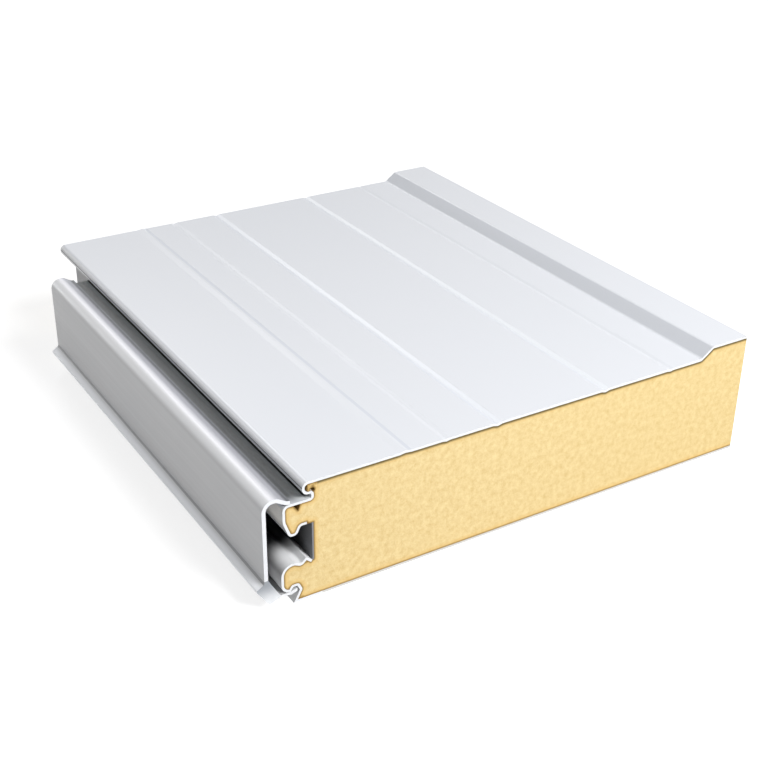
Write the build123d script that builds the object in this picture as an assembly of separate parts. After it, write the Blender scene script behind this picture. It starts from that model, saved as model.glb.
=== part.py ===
from build123d import *
import os

# Foam-cored panel offcut, lying on its back skin with the painted face up.
# X runs across the panel from the jointed edge, Y along it, Z through its thickness.
# All sizes are millimetres. Sections are drawn with x = 0 on the wall of the joint.

# Whole panel
thickness = 40.0
panel_width = 166.5
panel_length = 200.0
skin = 0.8

# Raised strip beside the plain edge
strip_width = 15.3
step_height = 3.5
step_run = 4.8
step_bend = 1.4

# Pressed creases of the face, two deep ones and three faint ones
joint_crease_place = 64.0
strip_crease_gap = 40.6
deep_crease_width = 3.2
deep_crease_depth = 0.4
ridge_place = 31.2
ridge_width = 4.4
ridge_height = 0.25
faint_crease_place = 45.4
faint_strip_crease_gap = 13.4
faint_crease_width = 2.6
faint_crease_depth = 0.2

# Rounded nose over the groove, with a tip that the foam doesn't fill
nose_reach = 2.9
nose_height = 4.2
nose_bend = 2.0
nose_fill = 1.3
corner_void = 0.7

# Groove under the nose
groove_height = 1.5

# Upper finger, wrapped by the face skin
upper_set_back = 1.0
upper_height = 10.9
upper_shoulder_bend = 2.0
upper_slope_drop = 5.2
upper_slope_run = 1.9
upper_tip_width = 2.4
upper_tip_bend = 1.5
recess_undercut = 2.6
undercut_run = 1.3
root_bend = 0.9
skin_stop = 1.6
foam_pit_inset = 4.5
foam_pit_width = 2.4
foam_pit_depth = 2.0

# Lower finger, wrapped by the back skin, with a notch for the hook of the profile
lower_reach = 10.2
lower_bottom = 4.5
lower_height = 9.5
lower_top_bend = 3.8
lower_bottom_bend = 2.7
crown_inset = 4.6
hook_notch_inset = 2.9
hook_notch_height = 1.3
hook_notch_slant = 0.8
hook_notch_width = 1.4
back_reach = 6.4

# Lip of the back skin at the foot of the recess
lip_place = 2.0
lip_height = 0.7
lip_foot_drop = 0.9
valley_place = 3.7
valley_depth = 0.9

# Sealing tape on the wall of the recess
tape = 0.5

# Notch at the far end of the joint, from where the clip-on profile ends
profile_setback = 25.0
notch_depth = 2.4
cut_margin = 1.0

# Clip-on edge profile
profile_wall = 1.2
web_gap = 4.2
clip_clearance = 0.1
seat_inset = 2.4
seat_width = 0.8
bead_rise = 1.9
bead_run = 3.2
bead_shoulder = 3.6
bead_bend = 2.4
foot_height = 11.0
foot_fin = 2.5
foot_fin_drop = 3.0
foot_fin_edge = 0.6
foot_fin_root_drop = 0.8
foot_fin_bend = 1.0
foot_tip_level = 2.6
foot_tip_inset = 1.2
foot_tip_width = 0.8
foot_toe_run = 2.9
hook_wall = 1.1
hook_tip_wall = 0.9

# Levels and places that follow from the sizes above
face_level = thickness
strip_level = thickness + step_height
step_foot = panel_width - strip_width - step_run
groove_floor = thickness - nose_height - groove_height
upper_reach = lower_reach - upper_set_back
upper_tip = groove_floor - upper_height
recess_ceiling = upper_tip + recess_undercut
recess_floor = lower_bottom + lower_height
notch_left = hook_notch_inset - lower_reach
notch_top = lower_bottom + hook_notch_height
web_inner = -(lower_reach + web_gap)
web_outer = web_inner - profile_wall
fin_tip = web_outer - foot_fin
seat_level = groove_floor + clip_clearance + profile_wall
seat_end = seat_inset - upper_reach
bead_top = seat_level + bead_rise
flange_top = lower_bottom - clip_clearance
foot_fin_level = foot_height - foot_fin_drop
profile_length = panel_length - profile_setback
middle_x = (panel_width + fin_tip) / 2
middle_y = panel_length / 2


def pressed(place, width, offset):
    """Corners of one straight press mark across the face, read from the right."""
    right = (place + width / 2, face_level)
    middle = (place, face_level + offset)
    left = (place - width / 2, face_level)
    return [(right, 0), (middle, 0), (left, 0)]


def press_marks():
    """Corners of all the press marks, from the step to the nose."""
    corners = pressed(step_foot - faint_strip_crease_gap, faint_crease_width, -faint_crease_depth)
    corners += pressed(step_foot - strip_crease_gap, deep_crease_width, -deep_crease_depth)
    corners += pressed(joint_crease_place, deep_crease_width, -deep_crease_depth)
    corners += pressed(faint_crease_place, faint_crease_width, -faint_crease_depth)
    corners += pressed(ridge_place, ridge_width, ridge_height)
    return corners


def upper_finger():
    """Corners of the upper finger, from its shoulder to the end of the skin on the recess ceiling."""
    slope_end = -upper_reach + upper_slope_run
    tip_end = slope_end + upper_tip_width
    corners = [((-upper_reach, groove_floor), upper_shoulder_bend)]
    corners.append(((-upper_reach, upper_tip + upper_slope_drop), upper_shoulder_bend * 2))
    corners.append(((slope_end, upper_tip), upper_tip_bend))
    corners.append(((tip_end, upper_tip), upper_tip_bend))
    corners.append(((tip_end + undercut_run, recess_ceiling), root_bend))
    corners.append(((-skin_stop, recess_ceiling), 0))
    return corners


def face_corners():
    """Outer line of the face skin, with the bend radius at each corner."""
    corners = [((panel_width, strip_level), 0)]
    corners.append(((step_foot + step_run, strip_level), step_bend))
    corners.append(((step_foot, face_level), step_bend))
    corners += press_marks()
    corners.append(((-nose_reach, face_level), nose_bend))
    corners.append(((-nose_reach, face_level - nose_height), nose_bend))
    corners.append(((0, face_level - nose_height), skin / 2))
    corners.append(((0, groove_floor), skin / 2))
    return corners + upper_finger()


def back_corners():
    """Outer line of the back skin, with the bend radius at each corner."""
    notch_right = notch_left + hook_notch_slant + hook_notch_width
    corners = [((0, recess_floor - lip_foot_drop), 0)]
    corners.append(((-lip_place, recess_floor + lip_height), skin / 2))
    corners.append(((-valley_place, recess_floor - valley_depth), skin))
    corners.append(((crown_inset - lower_reach, recess_floor), skin))
    corners.append(((-lower_reach, recess_floor), lower_top_bend))
    corners.append(((-lower_reach, lower_bottom), lower_bottom_bend))
    corners.append(((notch_left, lower_bottom), 0))
    corners.append(((notch_left + hook_notch_slant, notch_top), skin / 2))
    corners.append(((notch_right, notch_top), skin / 2))
    corners.append(((notch_right + hook_notch_slant, lower_bottom - hook_notch_slant / 2), skin / 2))
    corners.append(((-back_reach, 0), 0))
    corners.append(((panel_width, 0), 0))
    return corners


def bent_line(corners):
    """A line through the corners, bent to each one's radius."""
    points = [point for point, _ in corners]
    bends = [bend for _, bend in corners[1:-1]]
    return FilletPolyline(*points, radius=bends)


def sheet(corners, wall):
    """Section of a bent wall whose outer face follows the corners."""
    line = bent_line(corners).wire()
    return make_face(line.offset_2d(wall, kind=Kind.INTERSECTION, side=Side.LEFT))


def body_section():
    """Everything between the outer lines of the two skins."""
    face = bent_line(face_corners())
    back = bent_line(back_corners())
    ceiling = Line(face @ 1, (0, recess_ceiling))
    wall = Line(ceiling @ 1, back @ 0)
    edge = Line(back @ 1, face @ 0)
    return make_face(face.edges() + [ceiling, wall] + back.edges() + [edge])


def tape_section():
    """Sealing tape on the wall of the recess, from the lip up to the ceiling."""
    low = recess_floor - lip_foot_drop
    height = recess_ceiling - low
    return Pos(tape / 2, low + height / 2) * Rectangle(tape, height)


def foam_voids():
    """Small places under tight bends of the face skin that the foam doesn't fill."""
    tip = Pos(-(nose_fill + nose_reach) / 2, face_level - nose_height / 2)
    corner = Pos(skin / 2, face_level - nose_height + skin + corner_void / 2)
    pit_right = foam_pit_inset - upper_reach + foam_pit_width / 2
    pit_top = groove_floor - skin
    pit = Polyline(
        (pit_right, pit_top),
        (pit_right - foam_pit_width, pit_top),
        (pit_right - foam_pit_width / 3, pit_top - foam_pit_depth),
        close=True,
    )
    nose_tip = tip * Rectangle(nose_reach - nose_fill, nose_height)
    return nose_tip + corner * Circle(corner_void) + make_face(pit)


def foam_section():
    """The core, filling everything inside the skins but a few tight spots."""
    skins = sheet(face_corners(), skin) + sheet(back_corners(), skin)
    return body_section() - skins - foam_voids() - tape_section()


def clip_corners():
    """Outer line of the profile's seat, bead and web, with its bends."""
    bead_foot = seat_end - seat_width
    corners = [((seat_end, seat_level), 0)]
    corners.append(((bead_foot, seat_level), bead_bend))
    corners.append(((bead_foot - bead_run, bead_top), bead_bend))
    corners.append(((web_outer, bead_top), bead_shoulder))
    corners.append(((web_outer, foot_height), 0))
    return corners


def foot_corners():
    """Outline of the thick foot with its outward fin and its hook, and the bends."""
    tip_left = web_outer + foot_tip_inset
    toe = tip_left + foot_tip_width + foot_toe_run
    hook_left = notch_left + clip_clearance
    hook_right = notch_left + hook_notch_slant + hook_notch_width - clip_clearance
    hook_bottom = flange_top - hook_wall
    hook_top = notch_top - hook_tip_wall
    corners = [((web_inner, foot_height), 0)]
    corners.append(((web_outer, foot_height), 0))
    corners.append(((web_outer, foot_height - foot_fin_root_drop), foot_fin_bend))
    corners.append(((fin_tip, foot_fin_level + foot_fin_edge), foot_fin_edge / 2))
    corners.append(((fin_tip, foot_fin_level), foot_fin_edge / 2))
    corners.append(((tip_left, foot_tip_level), foot_fin_edge))
    corners.append(((tip_left + foot_tip_width, foot_tip_level), foot_fin_edge))
    corners.append(((toe, hook_bottom + hook_wall / 2), hook_wall))
    corners.append(((hook_left, hook_bottom), hook_wall))
    corners.append(((hook_right, hook_top - hook_tip_wall), clip_clearance))
    corners.append(((hook_right, hook_top), clip_clearance))
    corners.append(((hook_left + hook_notch_slant, hook_top), clip_clearance))
    corners.append(((hook_left, flange_top), clip_clearance))
    corners.append(((toe, flange_top), hook_wall))
    return corners


def foot_section():
    """The thick foot of the profile."""
    points = [point for point, _ in foot_corners()]
    bends = [bend for _, bend in foot_corners()]
    return make_face(FilletPolyline(*points, radius=bends, close=True))


def profile_section():
    """The clip-on profile: seat, bead and web of one wall, and the foot."""
    return sheet(clip_corners(), profile_wall) + foot_section()


def draw_out(section, length):
    """A section drawn along the panel and set about the middle of the footprint."""
    solid = extrude(Plane.XZ * section, amount=-length)
    return Pos(-middle_x, -middle_y, 0) * solid


def far_notch():
    """What is cut away at the joint's far end, up to the middle of the slot under the nose."""
    left = -lower_reach - cut_margin
    top = groove_floor + groove_height / 2
    width = notch_depth - left
    length = profile_setback + cut_margin
    waste = Box(width, length, top + cut_margin, align=(Align.MIN, Align.MIN, Align.MIN))
    return Pos(left - middle_x, profile_length - middle_y, -cut_margin) * waste


def build_parts():
    """Every piece of the panel by its name."""
    notch = far_notch()
    return {
        "face_skin": draw_out(sheet(face_corners(), skin), panel_length) - notch,
        "back_skin": draw_out(sheet(back_corners(), skin), panel_length) - notch,
        "foam_core": draw_out(foam_section(), panel_length) - notch,
        "recess_tape": draw_out(tape_section(), panel_length) - notch,
        "edge_profile": draw_out(profile_section(), profile_length),
    }


os.makedirs("parts", exist_ok=True)
for name, solid in build_parts().items():
    export_step(solid, f"parts/{name}.step")
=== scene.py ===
import bpy
import bmesh
import math
import numpy as np
from mathutils import Matrix, Vector, geometry


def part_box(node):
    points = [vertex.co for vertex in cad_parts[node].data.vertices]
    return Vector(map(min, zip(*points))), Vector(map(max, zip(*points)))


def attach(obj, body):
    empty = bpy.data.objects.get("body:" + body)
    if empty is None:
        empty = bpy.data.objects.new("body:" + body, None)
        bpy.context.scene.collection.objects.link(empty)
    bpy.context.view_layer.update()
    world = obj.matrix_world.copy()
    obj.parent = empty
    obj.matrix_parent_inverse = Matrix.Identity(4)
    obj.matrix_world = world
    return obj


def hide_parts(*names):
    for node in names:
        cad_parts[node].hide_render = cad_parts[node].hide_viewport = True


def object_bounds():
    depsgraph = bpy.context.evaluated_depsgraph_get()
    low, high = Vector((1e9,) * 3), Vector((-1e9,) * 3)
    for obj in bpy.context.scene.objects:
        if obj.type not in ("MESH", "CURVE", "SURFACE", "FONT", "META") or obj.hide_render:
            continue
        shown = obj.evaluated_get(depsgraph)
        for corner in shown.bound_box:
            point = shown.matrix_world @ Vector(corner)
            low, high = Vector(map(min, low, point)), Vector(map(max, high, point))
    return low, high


# Foam-cored panel offcut: two painted sheets round a foam core, a dark tape in the joint
# and a clip-on aluminium edge. Metres, Z up, the panel's length along Y.

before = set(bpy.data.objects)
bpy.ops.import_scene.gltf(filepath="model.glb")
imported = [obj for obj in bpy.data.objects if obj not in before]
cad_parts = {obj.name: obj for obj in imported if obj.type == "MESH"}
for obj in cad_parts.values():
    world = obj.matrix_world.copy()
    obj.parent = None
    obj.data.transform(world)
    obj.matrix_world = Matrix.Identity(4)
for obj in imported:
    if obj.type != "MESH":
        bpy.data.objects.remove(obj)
cadLow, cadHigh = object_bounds()
scene = bpy.context.scene
scene.view_settings.view_transform = "Standard"
mm = 0.001
print("frame loaded")


# Outlines, read from the near end of the frame's own solids and given more points

outlineDetail = {
    "mergeWithin": 0.002 * mm,
    "endDepth": 0.01 * mm,          # faces this close to the near end are its own
    "longestBendChord": 1.3 * mm,   # a shorter run between two soft turns belongs to a bend
    "softTurn": (3, 40),            # degrees that count as a bend and not as a fold
    "hold": 0.22 * mm,              # a point this close to each fold keeps the flats flat
    "longestRun": 3.0 * mm,
}


def solidOf(node):
    solid = bmesh.new()
    solid.from_mesh(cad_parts[node].data)
    bmesh.ops.remove_doubles(solid, verts=solid.verts, dist=outlineDetail["mergeWithin"])
    return solid


def readOutline(node):
    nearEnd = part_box(node)[0].y
    solid = solidOf(node)
    ends = {f for f in solid.faces if max(v.co.y for v in f.verts) - nearEnd < outlineDetail["endDepth"]}
    rim = [e for e in solid.edges if sum(f in ends for f in e.link_faces) == 1]
    following = {}
    for edge in rim:
        for here, there in (edge.verts, reversed(edge.verts)):
            following.setdefault(here, []).append(there)
    start = rim[0].verts[0]
    walk = [start, following[start][0]]
    while walk[-1] is not start:
        ahead = [v for v in following[walk[-1]] if v is not walk[-2]]
        walk.append(ahead[0])
    points = [Vector((v.co.x, v.co.z)) for v in walk[:-1]]
    solid.free()
    area = sum(a.cross(b) for a, b in zip(points, points[1:] + points[:1]))
    return points if area > 0 else points[::-1]


def turnAt(before, here, there):
    return (here - before).angle_signed(there - here, 0)


def bendMiddle(before, here, there, after):
    run = there - here
    turns = turnAt(before, here, there), turnAt(here, there, after)
    least, most = (math.radians(t) for t in outlineDetail["softTurn"])
    soft = all(least < abs(t) < most for t in turns) and turns[0] * turns[1] > 0
    if not soft or run.length > outlineDetail["longestBendChord"]:
        return None
    turn = max(turns, key=abs)
    side = Vector((-run.y, run.x))
    return (here + there) / 2 + side * math.tan(turn / 4) / 2


def heldRun(here, there):
    run = there - here
    hold = outlineDetail["hold"]
    if run.length < 3 * hold:
        return []
    first, last = here + run.normalized() * hold, there - run.normalized() * hold
    steps = max(1, math.ceil((last - first).length / outlineDetail["longestRun"]))
    return [first.lerp(last, i / steps) for i in range(steps + 1)]


def finerOutline(points):
    count = len(points)
    finer = []
    for i in range(count):
        before, here, there, after = (points[(i + k) % count] for k in (-1, 0, 1, 2))
        finer.append(here)
        middle = bendMiddle(before, here, there, after)
        finer += [middle] if middle else heldRun(here, there)
    return finer


# Notch at the far end of the joint, from where the profile ends

notch = {
    "depth": 2.4 * mm,   # into the wall of the joint
    "start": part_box("edge_profile")[1].y,
    "top": 35.05 * mm,   # the middle of the slot under the nose
    "past": 3.0 * mm,    # how far the block that cuts it stands out of the part
}
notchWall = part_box("recess_tape")[0].x + notch["depth"]
notchLow = Vector((cadLow.x - notch["past"], notch["start"], -notch["past"]))
notchHigh = Vector((notchWall, cadHigh.y + notch["past"], notch["top"]))


# Building trees of nodes

def addNode(tree, kind, inputs=None, **settings):
    node = tree.nodes.new(kind)
    for name, value in settings.items():
        setattr(node, name, value)
    for socket, value in (inputs or {}).items():
        if isinstance(value, bpy.types.NodeSocket):
            tree.links.new(value, node.inputs[socket])
        else:
            node.inputs[socket].default_value = value
    return node


def outputOf(tree, kind, inputs=None, **settings):
    return addNode(tree, kind, inputs, **settings).outputs[0]


def maths(tree, operation, *values, clamp=False):
    inputs = dict(enumerate(values))
    return outputOf(tree, "ShaderNodeMath", inputs, operation=operation, use_clamp=clamp)


def vectorMaths(tree, operation, first, second):
    return outputOf(tree, "ShaderNodeVectorMath", {0: first, 1: second}, operation=operation)


def scaled(tree, vector, share):
    return outputOf(tree, "ShaderNodeVectorMath", {0: vector, "Scale": share}, operation="SCALE")


def newTree(name, kind, inputs, outputs):
    tree = bpy.data.node_groups.new(name, kind)
    for label, socket in inputs.items():
        tree.interface.new_socket(label, in_out="INPUT", socket_type=socket)
    for label, socket in outputs.items():
        tree.interface.new_socket(label, in_out="OUTPUT", socket_type=socket)
    return tree, addNode(tree, "NodeGroupInput").outputs


def closeTree(tree, results):
    addNode(tree, "NodeGroupOutput", results)
    return tree


def applyTree(piece, tree, settings):
    modifier = piece.modifiers.new(tree.name, "NODES")
    modifier.node_group = tree
    for item in tree.interface.items_tree:
        if item.in_out == "INPUT" and item.name in settings:
            modifier[item.identifier] = settings[item.name]
    made = bpy.data.meshes.new_from_object(
        piece.evaluated_get(bpy.context.evaluated_depsgraph_get()))
    piece.modifiers.remove(modifier)
    piece.data = made
    made.name = piece.name


def newPiece(name, points, edges=(), faces=()):
    mesh = bpy.data.meshes.new(name)
    mesh.from_pydata(points, edges, faces)
    piece = bpy.data.objects.new(name, mesh)
    scene.collection.objects.link(piece)
    return piece


def shadedByAngle(tree, mesh, sharpAngle):
    # smooth faces, with the edges that fold more than the angle left sharp
    smooth = outputOf(tree, "GeometryNodeSetShadeSmooth", {"Geometry": mesh, "Shade Smooth": True})
    angle = outputOf(tree, "GeometryNodeInputMeshEdgeAngle")
    folded = maths(tree, "GREATER_THAN", angle, sharpAngle)
    return outputOf(tree, "GeometryNodeSetShadeSmooth", {
        "Geometry": smooth, "Selection": folded, "Shade Smooth": False}, domain="EDGE")


def realInFinish(tree, mesh, finish):
    real = outputOf(tree, "GeometryNodeRealizeInstances", {"Geometry": mesh})
    return outputOf(tree, "GeometryNodeSetMaterial", {"Geometry": real, "Material": finish})


# Geometry Nodes: a section drawn out along the panel, with slight waves as in rolled sheet

cutFacing = 0.9   # a face that looks along the panel at least this much is a cut end


def notched(tree, solid, low, high):
    size = vectorMaths(tree, "SUBTRACT", high, low)
    middle = scaled(tree, vectorMaths(tree, "ADD", high, low), 0.5)
    block = outputOf(tree, "GeometryNodeMeshCube", {"Size": size})
    waste = outputOf(tree, "GeometryNodeTransform", {"Geometry": block, "Translation": middle})
    return outputOf(tree, "GeometryNodeMeshBoolean", {
        "Mesh 1": solid, "Mesh 2": waste}, operation="DIFFERENCE", solver="EXACT")


def waved(tree, mesh, given):
    # the waves go across and up, so the cut ends stay flat
    noise = addNode(tree, "ShaderNodeTexNoise", {
        "Scale": given["Waves Per Metre"], "W": given["Seed"], "Detail": 1.0}, noise_dimensions="4D")
    centred = vectorMaths(tree, "SUBTRACT", noise.outputs[1], (0.5, 0.5, 0.5))
    height = given["Wave Height"]
    reach = outputOf(tree, "ShaderNodeCombineXYZ", {"X": height, "Z": height})
    wave = vectorMaths(tree, "MULTIPLY", centred, reach)
    return outputOf(tree, "GeometryNodeSetPosition", {"Geometry": mesh, "Offset": wave})


def drawnTree():
    tree, given = newTree("drawnAlong", "GeometryNodeTree", {
        "Geometry": "NodeSocketGeometry", "Start": "NodeSocketFloat", "End": "NodeSocketFloat",
        "Ring Spacing": "NodeSocketFloat", "Wave Height": "NodeSocketFloat",
        "Waves Per Metre": "NodeSocketFloat", "Seed": "NodeSocketFloat",
        "Sharp Angle": "NodeSocketFloat", "Notch Low": "NodeSocketVector",
        "Notch High": "NodeSocketVector", "Finish": "NodeSocketMaterial",
        "Cut End": "NodeSocketMaterial"}, {"Geometry": "NodeSocketGeometry"})
    section = outputOf(tree, "GeometryNodeMeshToCurve", {"Mesh": given["Geometry"]})
    first, last = (outputOf(tree, "ShaderNodeCombineXYZ", {"Y": given[end]}) for end in ("Start", "End"))
    line = outputOf(tree, "GeometryNodeCurvePrimitiveLine", {"Start": first, "End": last})
    rings = outputOf(tree, "GeometryNodeResampleCurve", {
        "Curve": line, "Length": given["Ring Spacing"]}, mode="LENGTH")
    swept = outputOf(tree, "GeometryNodeCurveToMesh", {
        "Curve": rings, "Profile Curve": section, "Fill Caps": True})
    cut = notched(tree, swept, given["Notch Low"], given["Notch High"])
    shaded = shadedByAngle(tree, waved(tree, cut, given), given["Sharp Angle"])
    finished = realInFinish(tree, shaded, given["Finish"])
    normal = outputOf(tree, "GeometryNodeInputNormal")
    alongPanel = addNode(tree, "ShaderNodeSeparateXYZ", {0: normal}).outputs["Y"]
    sawn = maths(tree, "GREATER_THAN", maths(tree, "ABSOLUTE", alongPanel), cutFacing)
    ends = outputOf(tree, "GeometryNodeSetMaterial", {
        "Geometry": finished, "Selection": sawn, "Material": given["Cut End"]})
    return closeTree(tree, {"Geometry": ends})


def drawnPiece(values, finish, cutEnd):
    low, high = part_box(values["node"])
    outline = finerOutline(readOutline(values["node"]))
    points = [(x, -z, 0) for x, z in outline]   # Curve to Mesh turns a section's own Y down
    loop = [(i, (i + 1) % len(points)) for i in range(len(points))]
    piece = newPiece(values["piece"], points, loop)
    applyTree(piece, drawn, {
        "Start": low.y, "End": high.y, "Ring Spacing": values["ringSpacing"],
        "Wave Height": values["waveHeight"], "Waves Per Metre": values["wavesPerMetre"],
        "Seed": values["seed"], "Sharp Angle": math.radians(values["sharpAngle"]),
        "Notch Low": notchLow, "Notch High": notchHigh, "Finish": finish, "Cut End": cutEnd})
    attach(piece, "root")
    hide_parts(values["node"])
    print(values["piece"], "made,", len(piece.data.polygons), "faces")


# Geometry Nodes: crumbled relief of the sawn foam faces

def crumbTree():
    tree, given = newTree("crumbledFaces", "GeometryNodeTree", {
        "Geometry": "NodeSocketGeometry", "Depth": "NodeSocketFloat",
        "Crumbs Per Metre": "NodeSocketFloat", "Seed": "NodeSocketFloat",
        "Sharp Angle": "NodeSocketFloat", "Finish": "NodeSocketMaterial"},
        {"Geometry": "NodeSocketGeometry"})
    noise = outputOf(tree, "ShaderNodeTexNoise", {
        "Scale": given["Crumbs Per Metre"], "W": given["Seed"], "Detail": 2.0}, noise_dimensions="4D")
    relief = outputOf(tree, "GeometryNodeInputNamedAttribute", {"Name": "relief"}, data_type="FLOAT")
    sunk = maths(tree, "MULTIPLY", maths(tree, "MULTIPLY", noise, given["Depth"]), relief)
    normal = outputOf(tree, "GeometryNodeInputNormal")
    offset = scaled(tree, normal, maths(tree, "MULTIPLY", sunk, -1.0))
    moved = outputOf(tree, "GeometryNodeSetPosition", {"Geometry": given["Geometry"], "Offset": offset})
    shaded = shadedByAngle(tree, moved, given["Sharp Angle"])
    return closeTree(tree, {"Geometry": realInFinish(tree, shaded, given["Finish"])})


foamCore = {
    "piece": "foam_core_sawn",
    "node": "foam_core",
    "slot": "foam",
    "gridSpacing": 0.75 * mm,
    "jitter": 0.3,
    "clearOfRim": 0.45,   # this share of the spacing stays free of grid points beside a rim
    "crumbDepth": 0.16 * mm,
    "crumbsPerMetre": 900,
    "sharpAngle": 50,
    "seed": 4.0,
}
samePlane = {"facing": 0.9999, "distance": 0.03 * mm}
smallestGap = 1e-9   # metres, for the net of triangles


def sawnPlanes():
    # the direction each sawn plane of the foam faces, with its distance along it
    low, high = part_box(foamCore["node"])
    return [
        (Vector((0, -1, 0)), -low.y),
        (Vector((0, 1, 0)), high.y),
        (Vector((1, 0, 0)), high.x),
        (Vector((-1, 0, 0)), -notchWall),
        (Vector((0, 1, 0)), notch["start"]),
    ]


def onPlane(face, plane):
    direction, level = plane
    off = abs(face.verts[0].co.dot(direction) - level)
    return face.normal.dot(direction) > samePlane["facing"] and off < samePlane["distance"]


def nearest(points, starts, ends):
    least = np.full(len(points), np.inf)
    for a, b in zip(starts, ends):
        run = b - a
        share = np.clip(((points - a) @ run) / (run @ run), 0, 1)
        least = np.minimum(least, np.linalg.norm(points - a - share[:, None] * run, axis=1))
    return least


def within(points, starts, ends):
    inside = np.zeros(len(points), bool)
    for a, b in zip(starts, ends):
        if a[1] != b[1]:
            level = (a[1] > points[:, 1]) != (b[1] > points[:, 1])
            crossing = a[0] + (points[:, 1] - a[1]) / (b[1] - a[1]) * (b - a)[0]
            inside ^= level & (points[:, 0] < crossing)
    return inside


def jitteredGrid(flat, values, seed):
    spacing, jitter = values["gridSpacing"], values["jitter"]
    low, high = flat.min(0), flat.max(0)
    across, up = (np.arange(low[k] + spacing / 2, high[k], spacing) for k in (0, 1))
    grid = np.stack(np.meshgrid(across, up), -1).reshape(-1, 2)
    return grid + np.random.default_rng(seed).uniform(-jitter, jitter, grid.shape) * spacing


def rimOf(faces):
    return [e for e in {e for f in faces for e in f.edges} if sum(g in faces for g in e.link_faces) == 1]


def splitRim(solid, faces, spacing):
    for edge in rimOf(faces):
        cuts = round(edge.calc_length() / spacing) - 1
        if cuts > 0:
            bmesh.ops.bisect_edges(solid, edges=[edge], cuts=cuts)


def meetsSheet(edge, faces, planes):
    # true unless another sawn plane lies beyond this edge of the rim
    beyond = [f for f in edge.link_faces if f not in faces]
    return not any(onPlane(f, p) for f in beyond for p in planes)


def refill(solid, plane, planes, values, seed):
    # a sawn plane's faces give way to a fine net of triangles within the same rim
    direction, level = plane
    faces = {f for f in solid.faces if onPlane(f, plane)}
    splitRim(solid, faces, values["gridSpacing"])
    rim = rimOf(faces)
    bySheet = np.array([meetsSheet(e, faces, planes) for e in rim])
    verts = sorted({v for e in rim for v in e.verts}, key=lambda v: tuple(v.co))
    number = {v: i for i, v in enumerate(verts)}
    across = Vector((0, 0, 1)).cross(direction)
    up = direction.cross(across)
    flat = np.array([(v.co.dot(across), v.co.dot(up)) for v in verts])
    runs = [(number[e.verts[0]], number[e.verts[1]]) for e in rim]
    starts, ends = (flat[[run[k] for run in runs]] for k in (0, 1))
    grid = jitteredGrid(flat, values, seed)
    grid = grid[within(grid, starts, ends)]
    clear = nearest(grid, starts, ends)
    free = clear > values["gridSpacing"] * values["clearOfRim"]
    grid, clear = grid[free], clear[free]
    points = np.vstack([flat, grid])
    seam = nearest(points, starts[bySheet], ends[bySheet])
    made = geometry.delaunay_2d_cdt([Vector(p) for p in points], runs, [], 1, smallestGap)
    bmesh.ops.delete(solid, geom=list(faces), context="FACES")
    verts += [solid.verts.new(across * x + up * y + direction * level) for x, y in grid]
    for vert, share in zip(verts[len(flat):], clear / values["gridSpacing"]):
        vert[solid.verts.layers.float["relief"]] = min(1, share)
    for vert, gap in zip(verts, seam):
        vert[solid.verts.layers.float["clear"]] = gap
    triangles = np.array([[made[3][i][0] for i in f] for f in made[2]])
    kept = within(points[triangles].mean(1), starts, ends)
    for triangle in triangles[kept]:
        solid.faces.new([verts[i] for i in triangle])


def sawnFoam(values, finish):
    solid = solidOf(values["node"])
    for name in ("clear", "relief"):
        solid.verts.layers.float.new(name)
    planes = sawnPlanes()
    for seed, plane in enumerate(planes):
        refill(solid, plane, planes, values, seed)
    openEdges = sum(not e.is_manifold for e in solid.edges)
    piece = newPiece(values["piece"], [])
    solid.to_mesh(piece.data)
    solid.free()
    applyTree(piece, crumbTree(), {
        "Depth": values["crumbDepth"], "Crumbs Per Metre": values["crumbsPerMetre"],
        "Seed": values["seed"], "Sharp Angle": math.radians(values["sharpAngle"]), "Finish": finish})
    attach(piece, "root")
    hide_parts(values["node"])
    print(values["piece"], "made,", len(piece.data.polygons), "faces,", openEdges, "open edges")


# Building finishes

def colour(tone):
    # a tone as it looks on screen, 0 to 255, turned to the light value that shaders want
    shares = (c / 255 for c in tone)
    return tuple(c / 12.92 if c <= 0.04045 else ((c + 0.055) / 1.055) ** 2.4 for c in shares) + (1,)


def mixed(tree, share, under, over):
    # of this node's sockets, inputs 6 and 7 and output 2 are the colours
    node = addNode(tree, "ShaderNodeMix", {0: share, 6: under, 7: over}, data_type="RGBA")
    return node.outputs[2]


def rangeOf(tree, value, low, high):
    return outputOf(tree, "ShaderNodeMapRange", {"Value": value, "To Min": low, "To Max": high})


def fading(tree, value, start, end, most):
    # the most up to the start, nothing from the end on
    return outputOf(tree, "ShaderNodeMapRange", {
        "Value": value, "From Min": start, "From Max": end, "To Min": most, "To Max": 0.0})


def objectPlace(tree):
    return addNode(tree, "ShaderNodeTexCoord").outputs["Object"]


# Shader groups that more than one finish uses

def driftGroup():
    # slow change between two tones
    tree, given = newTree("driftingTone", "ShaderNodeTree", {
        "Colour": "NodeSocketColor", "Other Colour": "NodeSocketColor",
        "Scale": "NodeSocketFloat"}, {"Colour": "NodeSocketColor"})
    noise = outputOf(tree, "ShaderNodeTexNoise", {
        "Vector": objectPlace(tree), "Scale": given["Scale"], "Detail": 3.0})
    return closeTree(tree, {"Colour": mixed(tree, noise, given["Colour"], given["Other Colour"])})


def drawnLinesGroup():
    # fine lines along the length
    tree, given = newTree("linesAlong", "ShaderNodeTree", {
        "Lines Per Metre": "NodeSocketFloat", "Length Share": "NodeSocketFloat"},
        {"Lines": "NodeSocketFloat"})
    stretch = outputOf(tree, "ShaderNodeCombineXYZ", {"X": 1.0, "Y": given["Length Share"], "Z": 1.0})
    stretched = vectorMaths(tree, "MULTIPLY", objectPlace(tree), stretch)
    noise = outputOf(tree, "ShaderNodeTexNoise", {
        "Vector": stretched, "Scale": given["Lines Per Metre"], "Detail": 2.0})
    return closeTree(tree, {"Lines": noise})


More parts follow.
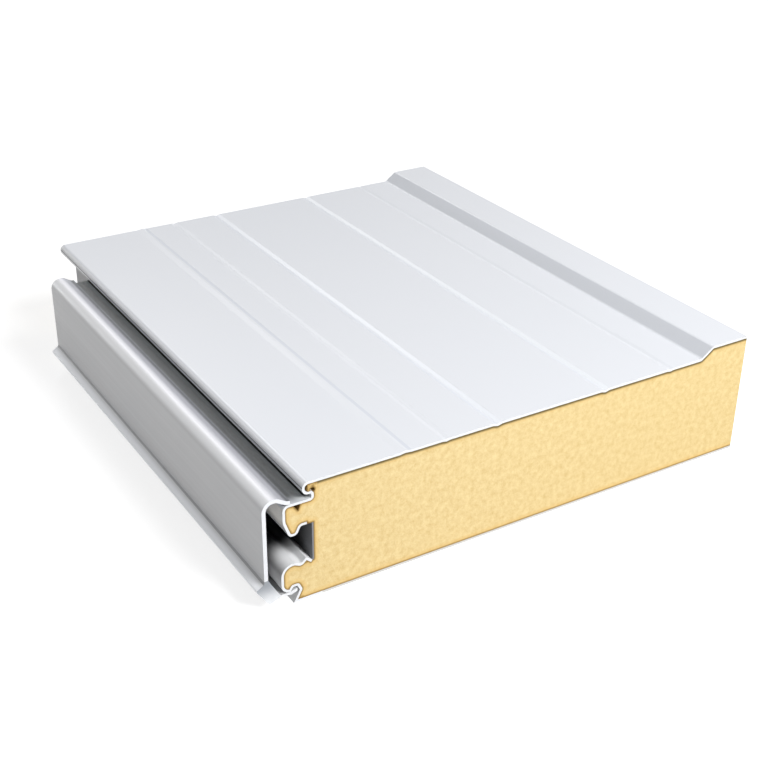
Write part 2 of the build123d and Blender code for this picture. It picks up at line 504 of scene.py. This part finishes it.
def speckGroup():
    # fine grain
    tree, given = newTree("fineGrain", "ShaderNodeTree", {
        "Grains Per Metre": "NodeSocketFloat", "Contrast": "NodeSocketFloat"},
        {"Grain": "NodeSocketFloat"})
    noise = outputOf(tree, "ShaderNodeTexNoise", {
        "Vector": objectPlace(tree), "Scale": given["Grains Per Metre"], "Detail": 4.0, "Roughness": 0.6})
    spread = maths(tree, "MULTIPLY", maths(tree, "SUBTRACT", noise, 0.5), given["Contrast"])
    return closeTree(tree, {"Grain": maths(tree, "ADD", spread, 0.5, clamp=True)})


def placeGroup(tree, group, inputs):
    return outputOf(tree, "ShaderNodeGroup", inputs, node_tree=group)


# Zones of another tone, placed on the piece. In the joint, beside the creases and on the step they
# paint light and shade that the photo shows, which stays under any other light. A metal finish
# without them is plain.
# Sizes in mm: across from the joint's wall, along from the near end, up from the floor.
# A soft zone fades in along an axis, from nothing at the first place to full at the second.

zoneOrigin = {"X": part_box("recess_tape")[0].x, "Y": cadLow.y, "Z": 0.0}


def onAxis(axis, sizes):
    return (zoneOrigin[axis] + size * mm for size in sizes)


def placeAlong(tree, axis):
    return addNode(tree, "ShaderNodeSeparateXYZ", {0: objectPlace(tree)}).outputs[axis]


def both(tree, first, second):
    return maths(tree, "MULTIPLY", first, second)


def axisBand(tree, axis, sizes):
    # 1 between the two places along an axis, 0 outside
    low, high = onAxis(axis, sizes)
    place = placeAlong(tree, axis)
    return both(tree, maths(tree, "GREATER_THAN", place, low), maths(tree, "LESS_THAN", place, high))


def axisRamp(tree, axis, *sizes):
    # 0 at the first place along an axis, 1 at the second
    start, end = onAxis(axis, sizes)
    return outputOf(tree, "ShaderNodeMapRange", {
        "Value": placeAlong(tree, axis), "From Min": start, "From Max": end},
        interpolation_type="SMOOTHSTEP")


def tintZone(tree, tone, zone):
    share = both(tree, axisBand(tree, "X", zone["across"]), axisBand(tree, "Z", zone["levels"]))
    share = both(tree, share, zone.get("amount", 1.0))
    for ramp in zone.get("soft", ()):
        share = both(tree, share, axisRamp(tree, *ramp))
    return mixed(tree, share, tone, colour(zone["tone"]))


# What the finishes have in common

def newFinish(name):
    material = bpy.data.materials.new(name)
    material.use_nodes = True
    tree = material.node_tree
    return material, tree, tree.nodes["Principled BSDF"]


def driftingTone(tree, values):
    return placeGroup(tree, drift, {
        "Colour": colour(values["tone"]), "Other Colour": colour(values["otherTone"]),
        "Scale": values["driftScale"]})


def setTone(tree, shader, tone, zones):
    for zone in zones:
        tone = tintZone(tree, tone, zone)
    tree.links.new(tone, shader.inputs["Base Color"])


def addBump(tree, shader, values, relief):
    bump = outputOf(tree, "ShaderNodeBump", {
        "Height": relief, "Strength": values["bump"], "Distance": values["bumpDepth"]})
    tree.links.new(bump, shader.inputs["Normal"])


def setSurface(tree, shader, values, roughening, relief):
    # roughness from one texture and a slight bump from another
    shader.inputs["Metallic"].default_value = values["metallic"]
    roughness = rangeOf(tree, roughening, *values["roughness"])
    tree.links.new(roughness, shader.inputs["Roughness"])
    addBump(tree, shader, values, relief)


# Paint of the two sheets

coat = {
    "grain": {"Grains Per Metre": 900, "Contrast": 1.2},
    "lines": {"Lines Per Metre": 260, "Length Share": 0.02},
    "metallic": 0.0,
    "bump": 0.25,
    "bumpDepth": 0.01 * mm,
}
facePaint = {
    **coat,
    "tone": (231, 233, 238),
    "otherTone": (228, 231, 237),
    "driftScale": 14,
    "roughness": (0.29, 0.35),
}
backPaint = {
    **coat,
    "tone": (239, 240, 241),
    "otherTone": (233, 234, 236),
    "driftScale": 20,
    "roughness": (0.42, 0.48),
}

# Floor of the groove, painted shade: dark at the bead, paler towards the nose as painted light, and a
# painted black shadow under it
grooveShadeAndLightZones = [
    {"tone": (72, 75, 76), "across": (-10, 1), "levels": (33.9, 35.2), "soft": [("Y", -3, 5)]},
    {"tone": (240, 244, 244), "across": (-6, 1), "levels": (33.9, 35.2),
     "soft": [("Y", -3, 5), ("X", -5.4, -1.9)]},
    {"tone": (26, 26, 28), "across": (-4, 1), "levels": (33.4, 36.1),
     "soft": [("Y", 0, 3), ("X", -1.9, -1.3)]},
]
# Tip of the upper finger, lighter: painted light
fingerPaintedLightZones = [
    {"tone": (255, 253, 249), "across": (-9.5, -8.1), "levels": (25, 33.2)},
]
# Front of the nose, lighter as painted light, with a thin painted shade line on it
noseLightAndShadeZones = [
    {"tone": (250, 252, 255), "across": (-4, -1.5), "levels": (36.2, 39.7)},
    {"tone": (150, 152, 156), "across": (-4, -2), "levels": (38.02, 38.4)},
]
# Bands beside the creases: painted highlights on one flank and painted shade on the other
pressLightAndShadeZones = [
    {"tone": (215, 219, 227), "across": (32.0, 33.3), "levels": (39.2, 40.6)},
    {"tone": (237, 240, 246), "across": (64.1, 65.5), "levels": (39.2, 40.6)},
    {"tone": (221, 225, 233), "across": (62.5, 63.7), "levels": (39.2, 40.6)},
    {"tone": (241, 244, 249), "across": (105.9, 107.3), "levels": (39.2, 40.6)},
    {"tone": (223, 227, 234), "across": (104.3, 105.5), "levels": (39.2, 40.6)},
]
# Slope of the step, darker: painted shade
slopePaintedShadeZones = [
    {"tone": (216, 219, 225), "across": (146.9, 150.9), "levels": (40.2, 43.3)},
]
# Painted shade: the back sheet inside the recess, nearly black away from the near end and from the notch
hollowPaintedShadeZones = [
    {"tone": (24, 24, 27), "across": (-12, 0.6), "levels": (3, 21), "soft": [("Y", 3, 14), ("Y", 174, 166)]},
]


def paintFinish(name, values, zones):
    material, tree, shader = newFinish(name)
    setTone(tree, shader, driftingTone(tree, values), zones)
    lines = placeGroup(tree, linesAlong, values["lines"])
    grain = placeGroup(tree, speck, values["grain"])
    setSurface(tree, shader, values, lines, grain)
    return material


# Bare cut ends of the sheets and of the profile

cutMetal = {
    "tone": (240, 242, 245),
    "otherTone": (219, 222, 227),
    "driftScale": 420,
    "grain": {"Grains Per Metre": 2600, "Contrast": 2.0},
    "metallic": 0.1,
    "roughness": (0.32, 0.5),
    "bump": 0.5,
    "bumpDepth": 0.05 * mm,
}
# Cut end of the profile's foot, greyer with height: painted shade
footPaintedShadeZones = [
    {"tone": (148, 153, 160), "across": (-20, -10.1), "levels": (-1, 11), "soft": [("Z", 3, 10)]},
]
# Cut edge of the back sheet on the floor, darker: painted shade
solePaintedShadeZones = [
    {"tone": (206, 206, 204), "across": (3, 170), "levels": (-1, 2)},
]


def grainedFinish(name, values, zones):
    material, tree, shader = newFinish(name)
    setTone(tree, shader, driftingTone(tree, values), zones)
    grain = placeGroup(tree, speck, values["grain"])
    setSurface(tree, shader, values, grain, grain)
    return material


# Clip-on aluminium profile

profileMetal = {
    "tone": (208, 208, 209),
    "otherTone": (201, 202, 204),
    "driftScale": 30,
    "lines": {"Lines Per Metre": 700, "Length Share": 0.012},
    "lineTone": (120, 120, 122),
    "lineShare": 0.16,
    "metallic": 0.32,
    "roughness": (0.35, 0.46),
    "bump": 0.3,
    "bumpDepth": 0.02 * mm,
}
profileLightAndShadeZones = [
    # inside of the web, darker: painted shade
    {"tone": (84, 84, 86), "across": (-14.9, -10.1), "levels": (9, 28), "soft": [("Z", 28, 23)]},
    # fin, lighter: painted light
    {"tone": (246, 248, 252), "across": (-19, -15.7), "levels": (-1, 10.4), "soft": [("X", -15.5, -17.5)]},
    # root of the fin, darker: painted shade in the crease
    {"tone": (150, 151, 154), "across": (-16.3, -15.0), "levels": (10.0, 10.8)},
    # upper inside, lighter: painted light
    {"tone": (248, 248, 248), "across": (-14.9, -10.1), "levels": (23, 35)},
    # shoulder, lighter: painted highlight
    {"tone": (226, 227, 229), "across": (-15.4, -11), "levels": (34.8, 38), "soft": [("Z", 34.8, 36.4)]},
    # crest of the bead, a little lighter: painted highlight
    {"tone": (214, 214, 219), "across": (-13.4, -10), "levels": (36.5, 38), "soft": [("X", -13.3, -12.6)]},
    # the bead's side to the groove, darker than the crest: painted shade
    {"tone": (198, 199, 206), "across": (-11.9, -8), "levels": (34.35, 38), "soft": [("X", -11.9, -10.9)]},
    # seat of the bead on the groove, darkest: painted shade
    {"tone": (110, 112, 117), "across": (-9, -6), "levels": (34.35, 36.4), "soft": [("X", -9.0, -7.4)]},
]


def profileFinish(values):
    material, tree, shader = newFinish("profile_aluminium")
    lines = placeGroup(tree, linesAlong, values["lines"])
    lined = mixed(tree, rangeOf(tree, lines, 0.0, values["lineShare"]),
                  driftingTone(tree, values), colour(values["lineTone"]))
    setTone(tree, shader, lined, profileLightAndShadeZones)
    setSurface(tree, shader, values, lines, lines)
    return material


# Sawn rigid foam: golden near the sheets, with a dark seam along them that is wider and darker under the
# face as painted shade

foamLook = {
    "tone": (233, 211, 156),
    "deepTone": (208, 176, 112),
    "paleTone": (240, 222, 176),
    "coarse": {"Grains Per Metre": 520, "Contrast": 2.2},
    "fine": {"Grains Per Metre": 1900, "Contrast": 1.6},
    "paleShare": 0.5,
    "goldenTone": (220, 178, 98),
    "goldenWidth": 2.0 * mm,
    "goldenShare": 0.7,
    "seamTone": (120, 92, 44),
    "seamFull": 0.05 * mm,
    "seamWidth": 0.7 * mm,
    "seamShare": 0.9,
    # Painted shade under the face sheet: the dark seam is darker and wider there
    "faceSeamShadeTone": (86, 78, 48),
    "faceSeamShadeFull": 0.42 * mm,
    "faceSeamShadeWidth": 1.15 * mm,
    "faceSeamShadeAcross": (2, 170),
    "faceSeamShadeLevels": (37, 45),
    "roughness": 0.9,
    "specular": 0.2,
    "bump": 0.6,
    "bumpDepth": 0.12 * mm,
}
# The foam is a little deeper in tone towards the plain edge: painted shade
foamPaintedShadeDrift = {
    "tone": (208, 180, 112),
    "across": (-20, 170),
    "levels": (-1, 45),
    "soft": [("X", 20, 180)],
    "amount": 0.16,
}
# The foam's walls in the notch, white like the sheets: a guess
notchZones = [
    {"tone": (246, 247, 249), "across": (-20, 2.8), "levels": (-1, 35.1), "soft": [("Y", 174.8, 175.2)]},
]


def foamFinish(values):
    material, tree, shader = newFinish("foam_yellow")
    coarse = placeGroup(tree, speck, values["coarse"])
    fine = placeGroup(tree, speck, values["fine"])
    mottled = mixed(tree, coarse, colour(values["deepTone"]), colour(values["tone"]))
    pale = rangeOf(tree, fine, 0.0, values["paleShare"])
    flecked = mixed(tree, pale, mottled, colour(values["paleTone"]))
    shadedAcross = tintZone(tree, flecked, foamPaintedShadeDrift)
    clear = addNode(tree, "ShaderNodeAttribute", attribute_name="clear").outputs["Fac"]
    golden = fading(tree, clear, 0.0, values["goldenWidth"], values["goldenShare"])
    warmed = mixed(tree, golden, shadedAcross, colour(values["goldenTone"]))
    # under the face the seam widens and darkens: painted shade
    faceBand = axisBand(tree, "Z", values["faceSeamShadeLevels"])
    underFace = both(tree, faceBand, axisBand(tree, "X", values["faceSeamShadeAcross"]))
    seamTone = mixed(tree, underFace, colour(values["seamTone"]), colour(values["faceSeamShadeTone"]))
    full = rangeOf(tree, underFace, values["seamFull"], values["faceSeamShadeFull"])
    width = rangeOf(tree, underFace, values["seamWidth"], values["faceSeamShadeWidth"])
    seam = fading(tree, clear, full, width, values["seamShare"])
    setTone(tree, shader, mixed(tree, seam, warmed, seamTone), notchZones)
    shader.inputs["Roughness"].default_value = values["roughness"]
    shader.inputs["Specular IOR Level"].default_value = values["specular"]
    addBump(tree, shader, values, fine)
    return material


# Tape on the wall of the recess

tapeLook = {
    "tone": (40, 40, 43),
    "otherTone": (30, 30, 33),
    "driftScale": 120,
    "grain": {"Grains Per Metre": 1500, "Contrast": 2.0},
    "metallic": 0.0,
    "roughness": (0.6, 0.85),
    "bump": 0.5,
    "bumpDepth": 0.08 * mm,
}
# Near end of the tape, lighter: painted light
tapePaintedLightZones = [
    {"tone": (126, 127, 131), "across": (-1, 1), "levels": (12, 28), "soft": [("Y", 9, 0)]},
]


# The camera stands at the photograph's viewpoint

cameraView = {
    "place": (-0.219123, -0.373510, 0.237122),
    "aim": (0.011734, 0.001333, 0.000060),
    "lens": 61.533,
    "sensorWidth": 36,
    "clipStart": 0.01,
    "roll": 0.598,
}


def addCamera(values):
    camera = bpy.data.objects.new("camera", bpy.data.cameras.new("camera"))
    camera.data.lens = values["lens"]
    camera.data.sensor_width = values["sensorWidth"]
    camera.data.clip_start = values["clipStart"]
    look = Vector(values["aim"]) - Vector(values["place"])
    roll = Matrix.Rotation(math.radians(values["roll"]), 3, "Z")
    turn = look.to_track_quat("-Z", "Y").to_matrix() @ roll
    camera.matrix_world = Matrix.Translation(values["place"]) @ turn.to_4x4()
    scene.collection.objects.link(camera)
    scene.camera = camera


# Studio: pale floor, even sky, a soft key from the front right, a soft lamp behind, and low strips
# that light the far end and the plain edge from below the level of the face

studio = {
    "skyLevel": 0.2,
    "floorTone": 0.5,
    "floorGlow": 0.76,
    "floorRoughness": 0.9,
    "floorSize": 6.0,
    "floorDrop": 0.05 * mm,
}
lamps = [
    {"name": "key", "place": (0.23, -0.77, 0.66), "size": 0.45, "power": 11.4},
    {"name": "rim", "place": (0.20, 1.20, 1.02), "size": 0.45, "power": 2.8},
    {"name": "end_strip", "place": (0.0, 0.95, 20 * mm), "size": 0.7, "height": 30 * mm, "power": 4.4},
    {"name": "edge_strip", "place": (0.95, 0.0, 20 * mm), "size": 0.7, "height": 30 * mm, "power": 2.0},
]


def seenDirectly(tree):
    # 1 for what is seen, reflected or seen through something, 0 for the light it sheds on other things
    path = addNode(tree, "ShaderNodeLightPath").outputs
    seen = maths(tree, "ADD", path["Is Camera Ray"], path["Is Glossy Ray"])
    return maths(tree, "ADD", seen, path["Is Transmission Ray"], clamp=True)


def addLamp(values):
    lamp = bpy.data.objects.new(values["name"], bpy.data.lights.new(values["name"], "AREA"))
    lamp.data.shape = "DISK"
    lamp.data.size = values["size"]
    lamp.data.energy = values["power"]
    toward = -Vector(values["place"])
    if "height" in values:
        # a level strip that the camera doesn't see
        lamp.data.shape = "RECTANGLE"
        lamp.data.size_y = values["height"]
        lamp.visible_camera = False
        toward.z = 0.0
    turn = toward.to_track_quat("-Z", "Y").to_matrix()
    lamp.matrix_world = Matrix.Translation(values["place"]) @ turn.to_4x4()
    scene.collection.objects.link(lamp)


def addSky(values):
    world = bpy.data.worlds.new("studio")
    scene.world = world
    world.use_nodes = True
    tree = world.node_tree
    background = tree.nodes["Background"]
    background.inputs["Color"].default_value = (1, 1, 1, 1)
    level = rangeOf(tree, seenDirectly(tree), values["skyLevel"], 1.0)
    tree.links.new(level, background.inputs["Strength"])


def addFloor(values):
    half = values["floorSize"] / 2
    corners = [(-half, -half), (half, -half), (half, half), (-half, half)]
    floor = newPiece("floor", [(x, y, -values["floorDrop"]) for x, y in corners], faces=[(0, 1, 2, 3)])
    material, tree, shader = newFinish("floor_pale")
    shader.inputs["Base Color"].default_value = (values["floorTone"],) * 3 + (1,)
    shader.inputs["Roughness"].default_value = values["floorRoughness"]
    shader.inputs["Specular IOR Level"].default_value = 0.0
    shader.inputs["Emission Color"].default_value = (1, 1, 1, 1)
    glow = maths(tree, "MULTIPLY", seenDirectly(tree), values["floorGlow"])
    tree.links.new(glow, shader.inputs["Emission Strength"])
    floor.data.materials.append(material)


addCamera(cameraView)
addSky(studio)
addFloor(studio)
for lamp in lamps:
    addLamp(lamp)
print("camera and studio set")

drift = driftGroup()
linesAlong = drawnLinesGroup()
speck = speckGroup()
drawn = drawnTree()

faceSheet = {
    "piece": "face_sheet",
    "node": "face_skin",
    "slot": "face_paint",
    "ringSpacing": 4 * mm,
    "waveHeight": 0.06 * mm,
    "wavesPerMetre": 22,
    "seed": 1.0,
    "sharpAngle": 34,
}
# the face sheet's painted light and shade
faceLightAndShadeZones = grooveShadeAndLightZones + fingerPaintedLightZones + noseLightAndShadeZones + pressLightAndShadeZones + slopePaintedShadeZones
facePaintFinish = paintFinish("face_paint", facePaint, faceLightAndShadeZones)
drawnPiece(faceSheet, facePaintFinish, grainedFinish("cut_metal", cutMetal, ()))

backSheet = {
    "piece": "back_sheet",
    "node": "back_skin",
    "slot": "back_paint",
    "ringSpacing": 4 * mm,
    "waveHeight": 0.04 * mm,
    "wavesPerMetre": 22,
    "seed": 2.0,
    "sharpAngle": 34,
}
backPaintFinish = paintFinish("back_paint", backPaint, hollowPaintedShadeZones)
drawnPiece(backSheet, backPaintFinish, grainedFinish("sole_cut_metal", cutMetal, solePaintedShadeZones))

sealingTape = {
    "piece": "sealing_tape",
    "node": "recess_tape",
    "slot": "tape",
    "ringSpacing": 2 * mm,
    "waveHeight": 0.1 * mm,
    "wavesPerMetre": 160,
    "seed": 3.0,
    "sharpAngle": 40,
}
tapeFinish = grainedFinish("sealing_tape", tapeLook, tapePaintedLightZones)
drawnPiece(sealingTape, tapeFinish, tapeFinish)

edgeProfile = {
    "piece": "clip_profile",
    "node": "edge_profile",
    "slot": "profile_metal",
    "ringSpacing": 3 * mm,
    "waveHeight": 0.16 * mm,
    "wavesPerMetre": 26,
    "seed": 5.0,
    "sharpAngle": 38,
}
profileCutFinish = grainedFinish("profile_cut", cutMetal, footPaintedShadeZones)
drawnPiece(edgeProfile, profileFinish(profileMetal), profileCutFinish)

sawnFoam(foamCore, foamFinish(foamLook))
print("all pieces made")
